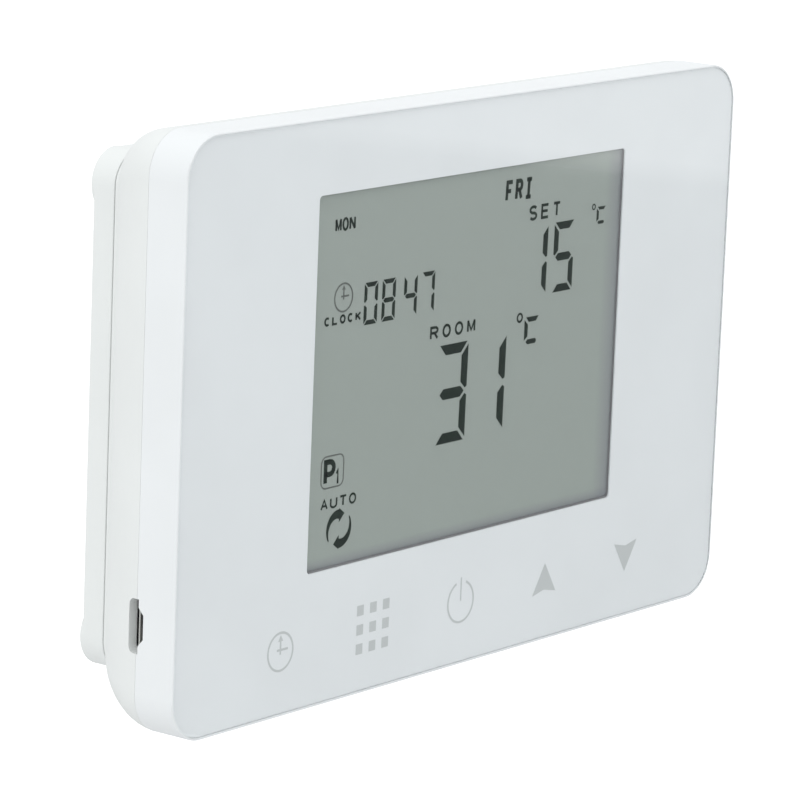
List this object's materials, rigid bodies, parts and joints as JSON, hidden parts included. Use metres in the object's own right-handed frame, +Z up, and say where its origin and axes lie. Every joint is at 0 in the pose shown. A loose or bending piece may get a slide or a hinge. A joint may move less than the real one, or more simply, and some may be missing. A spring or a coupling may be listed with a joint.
{
  "type": "programmable room thermostat",
  "caption": "Wireless programmable heating timer and room thermostat with a flat touch panel and LCD, on a wall plate that it lifts off.",
  "frame": {"origin": "centre of the two wall screws, in the plane where the wall plate meets the wall", "axes": "+Z up, +X to the right seen from the front, +Y into the wall; the display faces -Y"},
  "size_m": [0.14, 0.0263, 0.0904],
  "materials": {
    "housing_white": "satin moulded plastic, cool white",
    "rear_white": "fine matt moulded plastic, warm white",
    "panel_clear": "clear polished acrylic",
    "print_white": "white ink printed behind the panel",
    "foam_black": "black foam tape",
    "polariser_grey": "grey-green reflective polariser",
    "lcd_glass": "thin soda glass",
    "film_white": "white optical film",
    "guide_clear": "clear moulded acrylic with a dotted back",
    "led_package": "white lamp package with yellow phosphor",
    "holder_white": "white moulded plastic",
    "zebra_rubber": "striped conductive silicone",
    "board_green": "green solder mask on glass fibre",
    "chip_black": "moulded black epoxy",
    "steel": "bright zinc plated steel",
    "nickel": "nickel plated spring steel",
    "can_aluminium": "drawn aluminium can",
    "cell_can": "steel can in a plain printed sleeve",
    "radio_blue": "blue solder mask on glass fibre",
    "copper": "enamelled copper wire",
    "gold_contact": "gold plated contact",
    "resistor_grey": "ceramic chip with tinned ends"
  },
  "bodies": {
    "wall_plate": {"wall_plate": "rear_white"},
    "controller": {"front_housing": "housing_white", "rear_housing": "rear_white", "touch_panel": "panel_clear", "panel_print": "print_white", "lcd_gasket": "foam_black", "lcd_front_polariser": "polariser_grey", "lcd_front_glass": "lcd_glass", "lcd_rear_glass": "lcd_glass", "lcd_rear_polariser": "polariser_grey", "diffuser_film": "film_white", "light_guide": "guide_clear", "reflector_film": "film_white", "backlight_leds": "led_package", "lcd_holder": "holder_white", "zebra_strip": "zebra_rubber", "main_board": "board_green", "touch_springs": "nickel", "controller_chip": "chip_black", "memory_chip": "chip_black", "touch_chip": "chip_black", "power_regulator": "chip_black", "crystal": "steel", "chip_resistors": "resistor_grey", "capacitors": "can_aluminium", "temperature_sensor": "chip_black", "radio_pins": "gold_contact", "radio_board": "radio_blue", "radio_chip": "chip_black", "radio_aerial": "copper", "usb_shell": "steel", "usb_tongue": "chip_black", "usb_contacts": "gold_contact", "battery_cell_upper": "cell_can", "battery_cell_lower": "cell_can", "battery_springs": "nickel", "battery_contacts": "nickel", "battery_link": "nickel", "board_screws": "steel", "case_screws": "steel"},
    "battery_door": {"battery_door": "rear_white"}
  },
  "joints": [
    {"name": "controller_lift", "type": "slide", "parent": "wall_plate", "child": "controller", "axis": [0, 0, 1], "range_m": [0, 0.005]},
    {"name": "battery_door_slide", "type": "slide", "parent": "controller", "child": "battery_door", "axis": [0, 0, -1], "range_m": [0, 0.027]}
  ]
}
